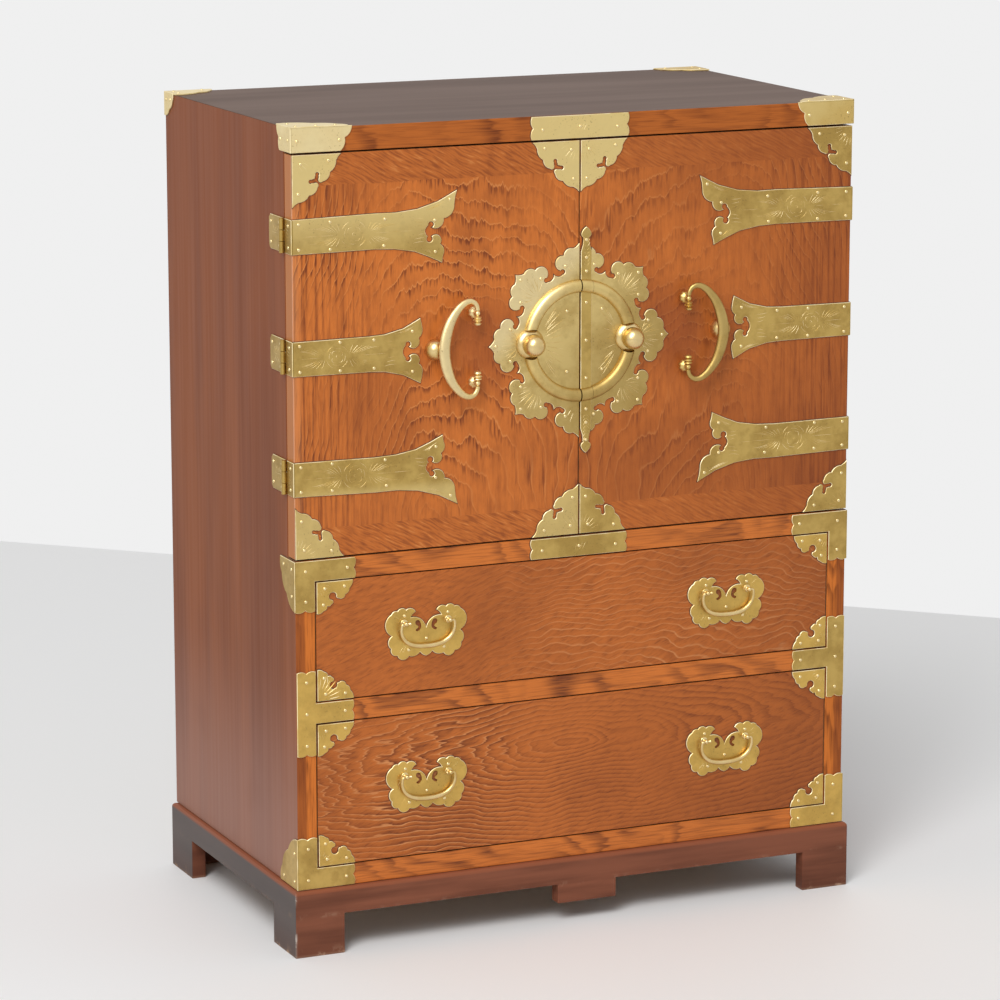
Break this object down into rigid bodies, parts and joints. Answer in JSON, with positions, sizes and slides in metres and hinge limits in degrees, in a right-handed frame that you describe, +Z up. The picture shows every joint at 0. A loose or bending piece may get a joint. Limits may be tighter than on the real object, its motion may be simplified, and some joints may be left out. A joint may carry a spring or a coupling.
{
  "type": "side cabinet",
  "caption": "Side cabinet on a bracket-foot plinth, with hinged doors over drawers, pierced brass strap hinges, a round lobed lock plate, bail handles and corner mounts.",
  "frame": {"origin": "on the floor, in the middle of the box round the closed cabinet", "axes": "-Y is the front with the doors and drawers, +X is to the right of someone who faces it, +Z is up"},
  "size_m": [0.7342, 0.4492, 0.9768],
  "materials": {
    "door_veneer": "waxed figured veneer, orange brown",
    "drawer_veneer": "waxed figured veneer, brown",
    "case_wood": "waxed, reddish orange brown",
    "side_wood": "waxed, dark reddish brown",
    "top_wood": "waxed, dark brown",
    "plinth_wood": "waxed, dark reddish brown, worn at the feet",
    "inner_wood": "plain planed wood",
    "sheet_brass": "aged sheet brass with a satin sheen",
    "cast_brass": "hand-polished cast brass"
  },
  "bodies": {
    "case": {"side_left": "side_wood", "side_right": "side_wood", "top_board": "top_wood", "cupboard_floor": "case_wood", "drawer_divider": "case_wood", "case_bottom": "case_wood", "back_panel": "inner_wood", "shelf": "inner_wood", "plinth": "plinth_wood", "leaf_left_top": "sheet_brass", "leaf_left_middle": "sheet_brass", "leaf_left_bottom": "sheet_brass", "leaf_right_top": "sheet_brass", "leaf_right_middle": "sheet_brass", "leaf_right_bottom": "sheet_brass", "cap_front_left": "sheet_brass", "cap_front_right": "sheet_brass", "cap_back_left": "sheet_brass", "cap_back_right": "sheet_brass", "lid_plate": "sheet_brass", "rail_plate": "sheet_brass", "rail_bracket_left": "sheet_brass", "rail_bracket_right": "sheet_brass", "tee_bracket_left": "sheet_brass", "tee_bracket_right": "sheet_brass", "foot_bracket_left": "sheet_brass", "foot_bracket_right": "sheet_brass"},
    "left_door": {"door_left": "door_veneer", "strap_left_top": "sheet_brass", "strap_left_middle": "sheet_brass", "strap_left_bottom": "sheet_brass", "lock_plate_left": "sheet_brass", "knob_left": "cast_brass", "bumper_left": "cast_brass", "handle_post_left_upper": "cast_brass", "handle_post_left_lower": "cast_brass"},
    "right_door": {"door_right": "door_veneer", "strap_right_top": "sheet_brass", "strap_right_middle": "sheet_brass", "strap_right_bottom": "sheet_brass", "lock_plate_right": "sheet_brass", "closing_strip": "sheet_brass", "knob_right": "cast_brass", "bumper_right": "cast_brass", "handle_post_right_upper": "cast_brass", "handle_post_right_lower": "cast_brass"},
    "left_bail": {"handle_bail_left": "cast_brass"},
    "right_bail": {"handle_bail_right": "cast_brass"},
    "upper_drawer": {"drawer_front_upper": "drawer_veneer", "drawer_box_upper": "inner_wood", "pull_plate_upper_left": "sheet_brass", "pull_plate_upper_right": "sheet_brass"},
    "lower_drawer": {"drawer_front_lower": "drawer_veneer", "drawer_box_lower": "inner_wood", "pull_plate_lower_left": "sheet_brass", "pull_plate_lower_right": "sheet_brass"},
    "upper_left_pull": {"pull_bail_upper_left": "cast_brass"},
    "upper_right_pull": {"pull_bail_upper_right": "cast_brass"},
    "lower_left_pull": {"pull_bail_lower_left": "cast_brass"},
    "lower_right_pull": {"pull_bail_lower_right": "cast_brass"}
  },
  "joints": [
    {"name": "left_door_hinge", "type": "hinge", "parent": "case", "child": "left_door", "pos_m": [-0.36388, -0.17265, 0.711], "axis": [0, 0, -1], "range_deg": [0, 180]},
    {"name": "right_door_hinge", "type": "hinge", "parent": "case", "child": "right_door", "pos_m": [0.36388, -0.17265, 0.711], "axis": [0, 0, 1], "range_deg": [0, 180]},
    {"name": "left_bail_hinge", "type": "hinge", "parent": "left_door", "child": "left_bail", "pos_m": [-0.1365, -0.2094, 0.711], "axis": [0, 0, 1], "range_deg": [0, 110]},
    {"name": "right_bail_hinge", "type": "hinge", "parent": "right_door", "child": "right_bail", "pos_m": [0.1365, -0.2094, 0.711], "axis": [0, 0, -1], "range_deg": [0, 110]},
    {"name": "upper_drawer_slide", "type": "slide", "parent": "case", "child": "upper_drawer", "axis": [0, -1, 0], "range_m": [0, 0.3]},
    {"name": "lower_drawer_slide", "type": "slide", "parent": "case", "child": "lower_drawer", "axis": [0, -1, 0], "range_m": [0, 0.3]},
    {"name": "upper_left_pull_hinge", "type": "hinge", "parent": "upper_drawer", "child": "upper_left_pull", "pos_m": [-0.197, -0.2034, 0.3897], "axis": [-1, 0, 0], "range_deg": [0, 110]},
    {"name": "upper_right_pull_hinge", "type": "hinge", "parent": "upper_drawer", "child": "upper_right_pull", "pos_m": [0.197, -0.2034, 0.3897], "axis": [-1, 0, 0], "range_deg": [0, 110]},
    {"name": "lower_left_pull_hinge", "type": "hinge", "parent": "lower_drawer", "child": "lower_left_pull", "pos_m": [-0.197, -0.2034, 0.20495], "axis": [-1, 0, 0], "range_deg": [0, 110]},
    {"name": "lower_right_pull_hinge", "type": "hinge", "parent": "lower_drawer", "child": "lower_right_pull", "pos_m": [0.197, -0.2034, 0.20495], "axis": [-1, 0, 0], "range_deg": [0, 110]}
  ]
}
